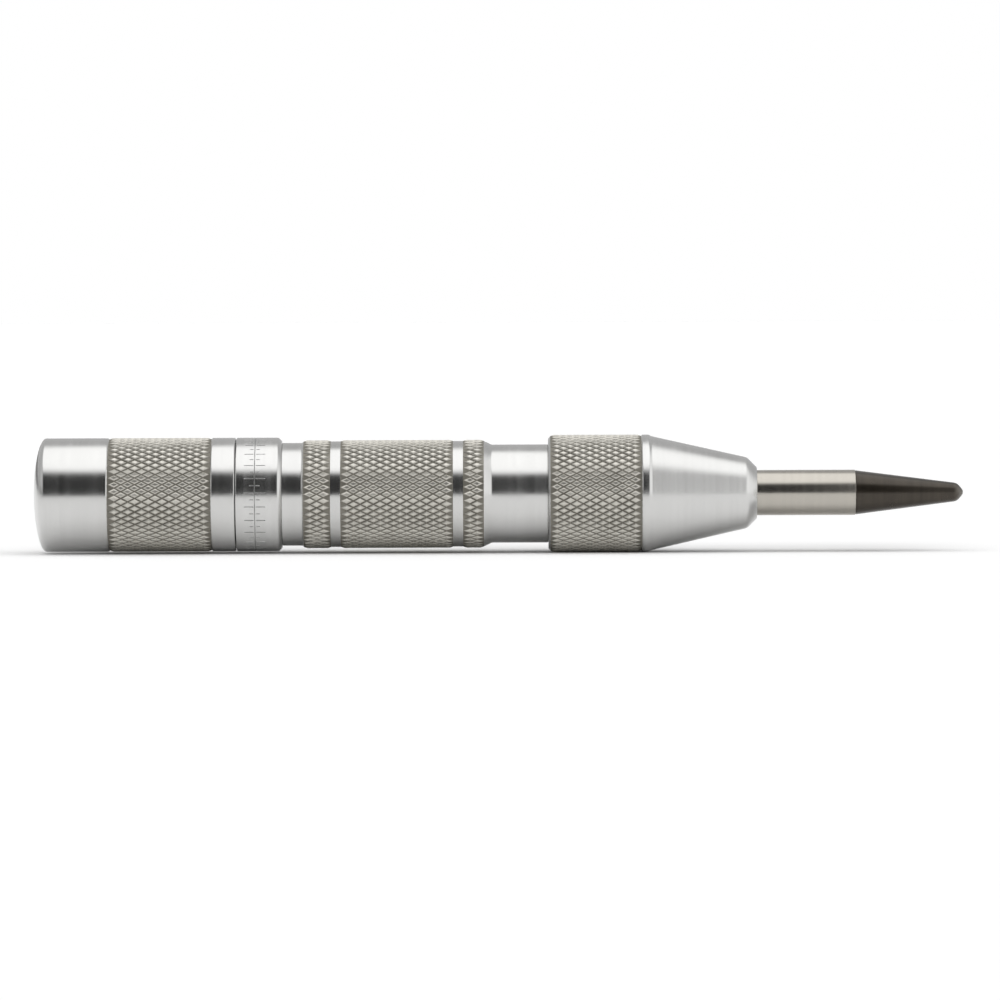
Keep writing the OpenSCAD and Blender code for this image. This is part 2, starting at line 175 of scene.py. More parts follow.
def add_node(tree, kind, inputs=None, **settings):
    """Adds a node, sets it, and feeds its inputs."""
    node = tree.nodes.new(kind)
    for name, value in settings.items():
        setattr(node, name, value)
    feed(tree, node, inputs or {})
    return node


def maths(tree, operation, first, second=0.0, third=0.0):
    """Output of a math node."""
    node = add_node(tree, "ShaderNodeMath", {0: first, 1: second, 2: third}, operation=operation)
    return node.outputs[0]


def product(tree, first, *others):
    """Several values multiplied."""
    for other in others:
        first = maths(tree, "MULTIPLY", first, other)
    return first


def spread(tree, value, low, high, to_low=0.0, to_high=1.0, smooth=False):
    """A value moved from one range to another and held inside it."""
    node = add_node(
        tree, "ShaderNodeMapRange",
        {"Value": value, "From Min": low, "From Max": high, "To Min": to_low, "To Max": to_high},
        clamp=True, interpolation_type="SMOOTHSTEP" if smooth else "LINEAR")
    return node.outputs["Result"]


def between(tree, share, first, last):
    """A value that goes from the first to the last while the share goes from 0 to 1."""
    return spread(tree, share, 0.0, 1.0, first, last)


def rising(tree, value, low, high):
    """A soft step from 0 up to 1."""
    return spread(tree, value, low, high, smooth=True)


def falling(tree, value, low, high):
    """A soft step from 1 down to 0."""
    return spread(tree, value, low, high, 1.0, 0.0, smooth=True)


def blend_values(tree, share, first, second):
    """Output of a mix of values; the sockets of a Mix node are told apart by number."""
    return add_node(tree, "ShaderNodeMix", {0: share, 2: first, 3: second}).outputs[0]


def blend_colours(tree, share, first, second):
    """Output of a mix of colours."""
    first, second = (c if isinstance(c, bpy.types.NodeSocket) else (*c, 1) for c in (first, second))
    return add_node(tree, "ShaderNodeMix", {0: share, 6: first, 7: second}, data_type="RGBA").outputs[2]


def noise(tree, place, scale, detail, roughness, distortion=0.0):
    """Output of a noise texture."""
    node = add_node(
        tree, "ShaderNodeTexNoise",
        {"Vector": place, "Scale": scale, "Detail": detail, "Roughness": roughness, "Distortion": distortion})
    return node.outputs[0]


def raised(tree, height, strength):
    """Normal of a surface with a shallow relief."""
    node = add_node(tree, "ShaderNodeBump", {"Height": height, "Strength": strength, "Distance": RELIEF})
    return node.outputs[0]


def shade(colour, factor):
    """A colour made lighter or darker."""
    return tuple(min(1.0, c * factor) for c in colour)


# Effects that the materials share

def start_group(name, inputs, outputs):
    """A new shader group with its sockets, its input node and its output node."""
    group = bpy.data.node_groups.new(name, "ShaderNodeTree")
    for label, kind, default in inputs:
        socket = group.interface.new_socket(label, in_out="INPUT", socket_type=kind)
        if default is not None:
            socket.default_value = default
    for label in outputs:
        group.interface.new_socket(label, in_out="OUTPUT", socket_type="NodeSocketFloat")
    return group, group.nodes.new("NodeGroupInput"), group.nodes.new("NodeGroupOutput")


def place_group(tree, group, inputs):
    """Places a group in a material with its own values and returns its outputs."""
    return add_node(tree, "ShaderNodeGroup", inputs, node_tree=group).outputs


def turning_marks():
    """Fine rings left by the lathe, and a slower change of tone along the piece."""
    name = "Turning marks"
    if name in bpy.data.node_groups:
        return bpy.data.node_groups[name]
    group, given, made = start_group(
        name,
        [("Place", "NodeSocketVector", None), ("Rings per metre", "NodeSocketFloat", 4000.0)],
        ["Height", "Tone"])
    breaks_per_metre, slowing = 45.0, 0.17
    fine = add_node(
        group, "ShaderNodeCombineXYZ",
        {"X": given.outputs["Rings per metre"], "Y": breaks_per_metre, "Z": breaks_per_metre})
    stretched = add_node(
        group, "ShaderNodeVectorMath", {0: given.outputs["Place"], 1: fine.outputs[0]}, operation="MULTIPLY")
    slower = add_node(
        group, "ShaderNodeVectorMath", {0: stretched.outputs[0], "Scale": slowing}, operation="SCALE")
    feed(group, made, {
        "Height": noise(group, stretched.outputs[0], scale=1.0, detail=3.0, roughness=0.6),
        "Tone": noise(group, slower.outputs[0], scale=1.0, detail=4.0, roughness=0.65),
    })
    return group


def handling_marks():
    """Smudges from handling, and small specks."""
    name = "Handling marks"
    if name in bpy.data.node_groups:
        return bpy.data.node_groups[name]
    group, given, made = start_group(
        name,
        [("Place", "NodeSocketVector", None), ("Smudges per metre", "NodeSocketFloat", 180.0)],
        ["Smudge", "Speck"])
    specks_per_smudge = 22.0
    place, smudges = given.outputs["Place"], given.outputs["Smudges per metre"]
    specks = maths(group, "MULTIPLY", smudges, specks_per_smudge)
    large = noise(group, place, smudges, detail=5.0, roughness=0.55, distortion=0.4)
    small = noise(group, place, specks, detail=2.0, roughness=0.5)
    feed(group, made, {
        "Smudge": spread(group, large, low=0.35, high=0.68),
        "Speck": spread(group, small, low=0.62, high=0.74),
    })
    return group


def depth_shade():
    """How high a point lies between the bottom of a knurl and its crest, which sets the painted shade in the
    grooves.
    """
    name = "Depth shade"
    if name in bpy.data.node_groups:
        return bpy.data.node_groups[name]
    group, given, made = start_group(
        name,
        [("Place", "NodeSocketVector", None), ("Bottom", "NodeSocketFloat", 0.007),
         ("Crest", "NodeSocketFloat", 0.008)],
        ["Height"])
    from_axis = add_node(
        group, "ShaderNodeVectorMath", {0: given.outputs["Place"], 1: AXIS}, operation="SUBTRACT")
    flat = add_node(
        group, "ShaderNodeVectorMath", {0: from_axis.outputs[0], 1: (0, 1, 1)}, operation="MULTIPLY")
    radius = add_node(group, "ShaderNodeVectorMath", {0: flat.outputs[0]}, operation="LENGTH")
    height = spread(group, radius.outputs["Value"], given.outputs["Bottom"], given.outputs["Crest"])
    feed(group, made, {"Height": height})
    return group


# Finishes

def start_material(name):
    """A new material with its surface shader and the place on the piece."""
    material = bpy.data.materials.new(name)
    material.use_nodes = True
    tree = material.node_tree
    tree.nodes.clear()
    output = tree.nodes.new("ShaderNodeOutputMaterial")
    surface = tree.nodes.new("ShaderNodeBsdfPrincipled")
    tree.links.new(surface.outputs[0], output.inputs["Surface"])
    place = tree.nodes.new("ShaderNodeTexCoord").outputs["Object"]
    return material, tree, surface, place


def turned_metal(name, colour, smooth, dull, rings, bump, contrast=0.06):
    """Turned or ground metal: rings in its normal and tone, smudges in its gloss."""
    if name in bpy.data.materials:
        return bpy.data.materials[name]
    smudge_weight, speck_weight, speck_shade = 0.35, 0.25, 0.72
    material, tree, surface, place = start_material(name)
    marks = place_group(tree, turning_marks(), {"Place": place, "Rings per metre": rings})
    touched = place_group(tree, handling_marks(), {"Place": place, "Smudges per metre": 170.0})
    tone = spread(tree, marks["Tone"], low=0.3, high=0.7)
    metal = blend_colours(tree, tone, shade(colour, 1 - contrast), shade(colour, 1 + contrast / 3))
    dulled = maths(tree, "MULTIPLY", touched["Speck"], speck_weight)
    gloss = maths(tree, "MULTIPLY_ADD", touched["Smudge"], smudge_weight, tone)
    feed(tree, surface, {
        "Base Color": blend_colours(tree, dulled, metal, shade(colour, speck_shade)),
        "Metallic": 1.0,
        "Roughness": spread(tree, gloss, 0.0, 1 + smudge_weight, smooth, dull),
        "Normal": raised(tree, marks["Height"], bump),
    })
    return material


def plated(finishes):
    """Satin chrome of the smooth bands."""
    return turned_metal(
        "turned_chrome", tuple(finishes.chrome), smooth=0.16, dull=0.29, rings=3200.0, bump=0.16)


def knurled_metal(name, crest, groove, bottom, top):
    """Plating over a knurl: bright on the crests, with a painted shade in the grooves, where it is also
    duller and warm.
    """
    if name in bpy.data.materials:
        return bpy.data.materials[name]
    smudge_weight, speck_weight, speck_shade = -0.22, 0.3, 0.75
    groove_roughness, crest_roughness = 0.48, 0.30
    groove_metallic, crest_metallic = 0.50, 0.80
    material, tree, surface, place = start_material(name)
    height = place_group(tree, depth_shade(), {"Place": place, "Bottom": bottom, "Crest": top})["Height"]
    touched = place_group(tree, handling_marks(), {"Place": place, "Smudges per metre": 420.0})
    uneven = maths(tree, "MULTIPLY_ADD", touched["Smudge"], smudge_weight, height)
    share = rising(tree, uneven, low=-0.05, high=0.62)
    worn = maths(tree, "MULTIPLY", touched["Speck"], speck_weight)
    # Painted shade: the colour falls from the crest colour to the darker groove colour with depth below the
    # crests
    metal = blend_colours(tree, share, groove, crest)
    feed(tree, surface, {
        "Base Color": blend_colours(tree, worn, metal, shade(crest, speck_shade)),
        "Metallic": between(tree, share, groove_metallic, crest_metallic),
        "Roughness": between(tree, share, groove_roughness, crest_roughness),
        "Normal": raised(tree, touched["Speck"], strength=0.12),
    })
    return material


def line_fill(colour):
    """Grey fill of the engraved lines, thin in places."""
    name = "graduation_fill"
    if name in bpy.data.materials:
        return bpy.data.materials[name]
    thin_shade, full_roughness, thin_roughness = 1.4, 0.42, 0.28
    material, tree, surface, place = start_material(name)
    thin = place_group(tree, handling_marks(), {"Place": place, "Smudges per metre": 900.0})["Smudge"]
    feed(tree, surface, {
        "Base Color": blend_colours(tree, thin, colour, shade(colour, thin_shade)),
        "Metallic": 0.75,
        "Roughness": between(tree, thin, full_roughness, thin_roughness),
    })
    return material


def oxide_finish(colour, bare):
    """Black oxide over a ground taper, rubbed through at the very point."""
    name = "blackened_steel"
    if name in bpy.data.materials:
        return bpy.data.materials[name]
    dark_shade, light_shade, bare_shade = 0.75, 1.25, 0.6
    clean_roughness, smudged_roughness = 0.27, 0.38

    # Distances from the end at which the rubbing begins and is full, in metres, and its share in patches
    rub_begins, rub_full = 0.0016, 0.0002
    least_rub, most_rub = 0.1, 0.4
    material, tree, surface, place = start_material(name)
    marks = place_group(tree, turning_marks(), {"Place": place, "Rings per metre": 3600.0})
    touched = place_group(tree, handling_marks(), {"Place": place, "Smudges per metre": 320.0})
    tone = spread(tree, marks["Tone"], low=0.3, high=0.7)
    black = blend_colours(tree, tone, shade(colour, dark_shade), shade(colour, light_shade))
    along = add_node(tree, "ShaderNodeSeparateXYZ", {0: place}).outputs[0]
    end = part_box("punch_tip")[1].x
    near_point = rising(tree, along, end - rub_begins, end - rub_full)
    rubbed = maths(tree, "MULTIPLY", near_point, between(tree, touched["Smudge"], least_rub, most_rub))
    feed(tree, surface, {
        "Base Color": blend_colours(tree, rubbed, black, shade(bare, bare_shade)),
        "Metallic": 0.85,
        "Roughness": between(tree, touched["Smudge"], clean_roughness, smudged_roughness),
        "Coat Weight": 0.5,
        "Coat Roughness": 0.2,
        "Normal": raised(tree, marks["Height"], strength=0.14),
    })
    return material


# Shaping

def spot(station, radius):
    """A point of an outline, above the tool's axis."""
    return Vector((REAR + station * MM, 0, AXIS_Z + radius * MM))


def where(point):
    """Station, radius and angle of a point."""
    y, z = point.y, point.z - AXIS_Z
    return (point.x - REAR) / MM, math.hypot(y, z) / MM, math.atan2(y, z)


def eased(outline, steps=3):
    """Rounds the corners of an outline whose points carry a third value, the length to ease."""
    most_of_a_side = 0.45
    points = []
    for i, point in enumerate(outline):
        here = Vector(point[:2])
        if len(point) < 3:
            points.append(here)
            continue
        back = Vector(outline[i - 1][:2]) - here
        on = Vector(outline[i + 1][:2]) - here
        length = min(point[2], back.length * most_of_a_side, on.length * most_of_a_side)
        first = here + back.normalized() * length
        last = here + on.normalized() * length
        for k in range(steps + 1):
            t = k / steps
            points.append((1 - t) ** 2 * first + 2 * t * (1 - t) * here + t ** 2 * last)
    return points


def clear_selection():
    """Leaves edit mode and deselects everything."""
    if bpy.context.object and bpy.context.object.mode != "OBJECT":
        bpy.ops.object.mode_set(mode="OBJECT")
    bpy.ops.object.select_all(action="DESELECT")


def turn_piece(name, outline, columns):
    """Extrudes a point along an outline and spins it round the tool's axis; leaves the piece in edit mode."""
    clear_selection()
    bpy.ops.mesh.primitive_plane_add(size=MM)
    piece = bpy.context.object
    piece.name = piece.data.name = name
    bpy.ops.object.mode_set(mode="EDIT")
    bpy.ops.mesh.select_mode(type="VERT")
    bpy.ops.mesh.select_all(action="SELECT")
    bpy.ops.mesh.merge(type="CENTER")
    points = [spot(*p) for p in eased(outline)]
    bpy.ops.transform.translate(value=points[0])
    for here, there in zip(points, points[1:]):
        bpy.ops.mesh.extrude_vertices_move(TRANSFORM_OT_translate={"value": there - here})
    bpy.ops.mesh.select_all(action="SELECT")
    bpy.ops.mesh.spin(steps=columns, angle=TURN, center=AXIS, axis=(1, 0, 0))
    bpy.ops.mesh.select_all(action="SELECT")
    bpy.ops.mesh.remove_doubles(threshold=MERGE)
    bpy.ops.mesh.select_all(action="SELECT")
    bpy.ops.mesh.normals_make_consistent(inside=False)
    return piece


def smooth_piece(degrees):
    """Leaves edit mode and smooths the piece, apart from edges sharper than an angle."""
    bpy.ops.object.mode_set(mode="OBJECT")
    bpy.ops.object.shade_smooth_by_angle(angle=math.radians(degrees))


def finish_piece(piece, body):
    """Smooths a turned piece and gives it its body."""
    smooth_piece(degrees=25)
    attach(piece, body)
    clear_selection()


def pick(piece, kind, test):
    """Selects the vertices, edges or faces that pass a test, in edit mode."""
    bpy.ops.mesh.select_mode(type=kind)
    bpy.ops.mesh.select_all(action="DESELECT")
    mesh = bmesh.from_edit_mesh(piece.data)
    items = {"VERT": mesh.verts, "EDGE": mesh.edges, "FACE": mesh.faces}[kind]
    chosen = [item for item in items if test(item)]
    if not chosen:
        raise RuntimeError(f"nothing to select on {piece.name}")
    for item in chosen:
        item.select_set(True)
    mesh.select_flush_mode()
    bmesh.update_edit_mesh(piece.data)


def press_in(radius, depth):
    """Moves the selection towards the tool's axis."""
    share = (radius - depth) / radius
    bpy.ops.transform.resize(value=(1, share, share), center_override=AXIS)


def paint(piece, materials, choose=lambda station, r: 0):
    """Gives the piece its materials and picks one for each face by its place."""
    for material in materials:
        piece.data.materials.append(material)
    mesh = bmesh.from_edit_mesh(piece.data)
    for face in mesh.faces:
        face.material_index = choose(*where(face.calc_center_median())[:2])
    bmesh.update_edit_mesh(piece.data)


# Knurls and threads

def knurl_columns(radius, sizes):
    """Columns of points round a knurled piece, two for each diamond."""
    return 2 * round(TURN * radius / (sizes.knurl_pitch / MM))


def knurl_count(band, sizes):
    """Whole rows in a knurled band, which is given by its first and last station."""
    first, last = band
    return max(2, round((last - first) / (sizes.knurl_row / MM)))


def knurl_peak(radius, sizes):
    """Radius of the whole diamonds before their points are cut down to the band's radius."""
    share = sizes.crest / 100
    return radius + sizes.knurl_depth / MM * share / (1 - share)


def knurl_rows(band, low, radius, sizes):
    """Outline of a band to be knurled: a low end row, even rows at the peaks, a low end row."""
    first, last = band
    count, peak = knurl_count(band, sizes), knurl_peak(radius, sizes)
    step = (last - first) / count
    return [(first, low), *((first + i * step, peak) for i in range(1, count)), (last, low)]


def cut_knurl(piece, band, radius, sizes):
    """Presses every other point of a band inwards, creases it along the grooves and flattens the crests."""
    first, last = band
    count, columns = knurl_count(band, sizes), knurl_columns(radius, sizes)
    step, peak = (last - first) / count, knurl_peak(radius, sizes)
    bottom, margin = radius - sizes.knurl_depth / MM, 0.1

    def grid(point):
        """Row and column of a point added up, or None for a point that isn't one of the band's peaks."""
        station, r, angle = where(point)
        row = (station - first) / step
        if abs(row - round(row)) > NEAR or not 0 < round(row) < count or abs(r - peak) > NEAR:
            return None
        return round(row) + round(angle / TURN * columns)

    def inside(face):
        """Whether a face lies on the outside of the band."""
        station, r, _ = where(face.calc_center_median())
        return first < station < last and r > bottom - margin

    pick(piece, "VERT", lambda v: grid(v.co) is not None and grid(v.co) % 2 == 0)
    press_in(peak, peak - bottom)
    pick(piece, "FACE", inside)
    bpy.ops.mesh.quads_convert_to_tris(quad_method="SHORTEST_DIAGONAL")
    pick(piece, "VERT", lambda v: grid(v.co) is not None)
    bpy.ops.mesh.bevel(offset_type="PERCENT", offset_pct=sizes.crest, segments=1, affect="VERTICES")


def paint_knurled(piece, name, bands, radius, sizes, finishes):
    """Gives a piece satin chrome, and knurled chrome on the outside of its bands."""
    depth = sizes.knurl_depth / MM

    def choose(station, r):
        """1, the knurled chrome, on a band, and 0 elsewhere."""
        return int(r > radius - 2 * depth and any(first < station < last for first, last in bands))

    paint(piece, [plated(finishes),
                  knurled_metal(name, tuple(finishes.knurl), tuple(finishes.groove_shade),
                                (radius - depth) * MM, radius * MM)], choose)


def thread_rows(ends, radius, pitch):
    """Outline of a cylinder to be threaded between two stations."""
    rows_a_pitch = 6
    first, last = ends
    count = round((last - first) / pitch * rows_a_pitch)
    return [(first + (last - first) * i / count, radius) for i in range(count + 1)]


def cut_thread(piece, ends, radius, pitch, depth):
    """Presses a V-thread into a cylinder of such rows, level by level, and fades it out at both ends."""
    levels = 24
    first, last = ends
    groups = {}
    for v in bmesh.from_edit_mesh(piece.data).verts:
        station, r, angle = where(v.co)
        if first < station < last and abs(r - radius) < NEAR:
            turn = (station / pitch + angle / TURN) % 1
            level = round(abs(2 * turn - 1) * levels)
            fade = min(1.0, (station - first) / pitch, (last - station) / pitch)
            groups.setdefault(round(level * fade), set()).add(v.index)
    for level, members in groups.items():
        if level:
            pick(piece, "VERT", lambda v: v.index in members)
            press_in(radius, depth * level / levels)


# Pieces

class PUNCH_OT_adjusting_cap(bpy.types.Operator):
    """Turns the crowned cap and knurls its middle band"""

    bl_idname = "punch.adjusting_cap"
    bl_label = "Adjusting cap"
    bl_options = {"REGISTER", "UNDO"}

    def execute(self, context):
        sizes, finishes = context.scene.punch_sizes, context.scene.punch_finishes
        radius, edge = across("adjusting_cap"), sizes.edge / MM
        _, rim = span("adjusting_cap")
        band, low = (10.5, 24.8), radius - sizes.knurl_depth / MM
        bore, end_wall = 6.3, 4.7
        rim_edge, bore_edge = 0.12, 0.3
        outline = [
            (0, 0), *self.crown(radius, flat=2.5, height=1.65),
            (band[0] - SHOULDER, radius, edge), *knurl_rows(band, low, radius, sizes),
            (band[1] + SHOULDER, radius, edge),
            (rim - rim_edge, radius, edge / 2), (rim, radius - rim_edge, edge / 2),
            (rim, bore + bore_edge), (rim - bore_edge, bore), (end_wall, bore), (end_wall, 0)]
        cap = turn_piece("cap_turned", outline, knurl_columns(radius, sizes))
        cut_knurl(cap, band, radius, sizes)
        paint_knurled(cap, "knurled_chrome_cap", [band], radius, sizes, finishes)
        finish_piece(cap, "cap")
        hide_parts("adjusting_cap")
        return {"FINISHED"}

    @staticmethod
    def crown(radius, flat, height, steps=20):
        """Outline of the rounded end, from the edge of the flat in its middle out to the cap's side."""
        start = math.asin(flat / radius)
        tall = height / math.cos(start)
        angles = [start + (math.pi / 2 - start) * i / steps for i in range(steps + 1)]
        return [(tall * (math.cos(start) - math.cos(t)), radius * math.sin(t)) for t in angles]


class PUNCH_OT_scale_ring(bpy.types.Operator):
    """Turns the scale ring and engraves its line and graduations"""

    bl_idname = "punch.scale_ring"
    bl_label = "Scale ring"
    bl_options = {"REGISTER", "UNDO"}

    def execute(self, context):
        sizes, finishes = context.scene.punch_sizes, context.scene.punch_finishes
        radius, edge = across("scale_ring"), sizes.edge / MM
        rear, front = span("scale_ring")
        bore, rear_edge, front_bevel = 6.62, 0.1, 0.5
        depth, half = sizes.line_depth / MM, sizes.line_width / MM / 2

        # The line runs round the ring; graduations run out from a gap on both sides of it to two lengths
        from_rear, gap, run, long, short = 2.7, 0.18, 0.1, 1.45, 0.7
        line = rear + from_rear
        slack, well_inside = 0.01, 0.05
        steps = (long, long - run, short, short - run, gap + run, gap, half)
        outline = [
            (rear, bore), (rear, radius - rear_edge, edge / 2), (rear + rear_edge, radius, edge / 2),
            *((line - s, radius) for s in steps), (line, radius - depth),
            *((line + s, radius) for s in reversed(steps)),
            (front - front_bevel, radius, edge), (front, radius - front_bevel, edge),
            (front, bore), (rear, bore)]
        columns_a_graduation = 4
        spacing = TURN / sizes.graduations
        ring = turn_piece("scale_ring_turned", outline, columns_a_graduation * sizes.graduations)
        paint(ring, [plated(finishes), line_fill(tuple(finishes.ink))],
              lambda s, r: int(line - half < s < line + half and r > radius - 2 * depth))

        def graduated(station, r, angle, margin):
            """Whether a point lies on a graduation, at least a margin away from both its ends."""
            turn = angle / spacing
            if r < radius - slack or abs(turn - round(turn)) > slack:
                return False
            reach = short if round(turn) % 2 else long
            return gap + margin < abs(station - line) < reach - margin

        pick(ring, "EDGE", lambda e: all(graduated(*where(v.co), -slack) for v in e.verts)
             and graduated(*where((e.verts[0].co + e.verts[1].co) / 2), slack))
        bpy.ops.mesh.bevel(offset_type="OFFSET", offset=half * MM, segments=2, affect="EDGES", material=1)
        pick(ring, "VERT", lambda v: graduated(*where(v.co), well_inside))
        press_in(radius, depth)
        finish_piece(ring, "barrel")
        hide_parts("scale_ring")
        return {"FINISHED"}


class PUNCH_OT_barrel(bpy.types.Operator):
    """Turns the barrel, knurls its grip in three bands and threads both ends"""

    bl_idname = "punch.barrel"
    bl_label = "Barrel"
    bl_options = {"REGISTER", "UNDO"}

    def execute(self, context):
        sizes, finishes = context.scene.punch_sizes, context.scene.punch_finishes
        radius, edge = across("barrel"), sizes.edge / MM
        rear, front = span("barrel")

        # Radii
        neck, waist, seat, tail, spigot = 7.2, 6.875, 6.6, 6.25, 6.5
        bore, chamber, clip_groove = 3.85, 5.45, 5.87

        # Stations
        seat_rear, neck_rear, neck_front = 28.3, 34.7, 37.5
        waist_rear, waist_front = 64.0, 71.9
        chamber_rear, clip_rear, clip_front = 41.5, 60.2, 61.24
        bands = [(37.7, 41.5), (42.9, 58.6), (60.0, 62.9)]
        tail_thread_front, spigot_thread_rear = 27.6, 72.4

        # Depth of the plain grooves, chamfers on both ends, and the run from an end to its thread
        groove_depth, tail_edge, spigot_edge, thread_run = 0.15, 0.5, 0.4, 0.6
        tail_thread = (rear + thread_run, tail_thread_front)
        spigot_thread = (spigot_thread_rear, front - thread_run)
        pitch, thread_depth = sizes.thread_pitch / MM, sizes.thread_depth / MM

        grip = [point for band in bands for point in knurl_rows(band, radius - groove_depth, radius, sizes)]
        outline = [
            (rear, bore), (rear, tail - tail_edge), (rear + tail_edge, tail),
            *thread_rows(tail_thread, tail, pitch), (seat_rear, tail), (seat_rear, seat), (neck_rear, seat),
            (neck_rear, neck, edge), (neck_front, neck, edge), *grip,
            (waist_rear, waist, edge), (waist_front, waist, edge), (waist_front, spigot),
            *thread_rows(spigot_thread, spigot, pitch), (front - spigot_edge, spigot),
            (front, spigot - spigot_edge), (front, chamber),
            (clip_front, chamber), (clip_front, clip_groove), (clip_rear, clip_groove), (clip_rear, chamber),
            (chamber_rear, chamber), (chamber_rear, bore), (rear, bore)]
        barrel = turn_piece("barrel_turned", outline, knurl_columns(radius, sizes))
        for band in bands:
            cut_knurl(barrel, band, radius, sizes)
        cut_thread(barrel, tail_thread, tail, pitch, thread_depth)
        cut_thread(barrel, spigot_thread, spigot, pitch, thread_depth)
        paint_knurled(barrel, "knurled_chrome_grip", bands, radius, sizes, finishes)
        finish_piece(barrel, "barrel")
        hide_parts("barrel")
        return {"FINISHED"}


class PUNCH_OT_nose_piece(bpy.types.Operator):
    """Turns the nose: knurled collar, plain rim, cone and front bevel"""

    bl_idname = "punch.nose_piece"
    bl_label = "Nose piece"
    bl_options = {"REGISTER", "UNDO"}

    def execute(self, context):
        sizes, finishes = context.scene.punch_sizes, context.scene.punch_finishes
        radius, edge = across("nose_piece"), sizes.edge / MM
        rear, front = span("nose_piece")

        # Radii
        thread, chamber, bush, lip = 6.52, 5.45, 4.32, 3.55
        bevel, face, low = 4.965, 3.62, radius - sizes.knurl_depth / MM

        # Stations
        knurl_front, collar_front, cone_rear, bevel_rear = 84.9, 86.0, 86.3, 99.75
        thread_front, bush_rear, bush_front = 82.92, 86.0, 99.4

        # Bevel behind the knurl, drop from the collar to the cone, and lengths to ease at the front
        rear_run, rear_drop, cone_drop = 0.3, 0.5, 0.2
        bevel_easing, face_easing = 0.3, 0.05
        band = (rear + rear_run, knurl_front)
        outline = [
            (rear, thread), (rear, radius - rear_drop, edge), *knurl_rows(band, low, radius, sizes),
            (knurl_front + SHOULDER, radius, edge), (collar_front, radius, edge),
            (cone_rear, radius - cone_drop, edge), (bevel_rear, bevel, bevel_easing),
            (front, face, face_easing), (front, lip), (bush_front, lip),
            (bush_front, bush), (bush_rear, bush), (bush_rear, chamber),
            (thread_front, chamber), (thread_front, thread), (rear, thread)]
        nose = turn_piece("nose_turned", outline, knurl_columns(radius, sizes))
        cut_knurl(nose, band, radius, sizes)
        paint_knurled(nose, "knurled_chrome_collar", [band], radius, sizes, finishes)
        finish_piece(nose, "barrel")
        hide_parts("nose_piece")
        return {"FINISHED"}


class PUNCH_OT_shank_and_point(bpy.types.Operator):
    """Turns the ground shank and the dark point"""

    bl_idname = "punch.shank_and_point"
    bl_label = "Shank and point"
    bl_options = {"REGISTER", "UNDO"}

    def execute(self, context):
        sizes, finishes = context.scene.punch_sizes, context.scene.punch_finishes
        edge, columns = sizes.edge / MM, 96
        rear, front = span("punch_shank")
        nose_front = span("nose_piece")[1]
        shank, land, tail, socket = 3.175, across("punch_shank"), 2.475, 1.495
        land_rear, socket_depth = 85.9, 5.82
        front_run, front_drop = 0.02, 0.12
        outline = [
            (rear, 0), (rear, tail, edge), (land_rear, tail), (land_rear, land, edge),
            (nose_front, land, edge), (nose_front, shank), (front - front_run, shank, edge),
            (front, shank - front_drop), (front, socket),
            (front - socket_depth, socket), (front - socket_depth, 0)]
        rod = turn_piece("shank_ground", outline, columns)
        paint(rod, [turned_metal("ground_steel", tuple(finishes.ground), smooth=0.19, dull=0.28,
                                 rings=5200.0, bump=0.14, contrast=0.07)])
        finish_piece(rod, "punch")
        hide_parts("punch_shank")

        # The blunt end in three corners: distance from the end, radius and length to ease
        corners = [(0.805, 1.275, 0.6), (0.14, 0.45, 0.25), (0, 0.2, 0.09)]
        begin, end = span("punch_tip")
        root, stud = across("punch_tip"), 1.475
        outline = [
            (begin, 0), (begin, stud), (front, stud), (front, root, edge),
            *((end - back, r, easing) for back, r, easing in corners), (end, 0)]
        point = turn_piece("point_ground", outline, columns)
        paint(point, [oxide_finish(tuple(finishes.oxide), tuple(finishes.ground))])
        finish_piece(point, "punch")
        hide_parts("punch_tip")
        return {"FINISHED"}


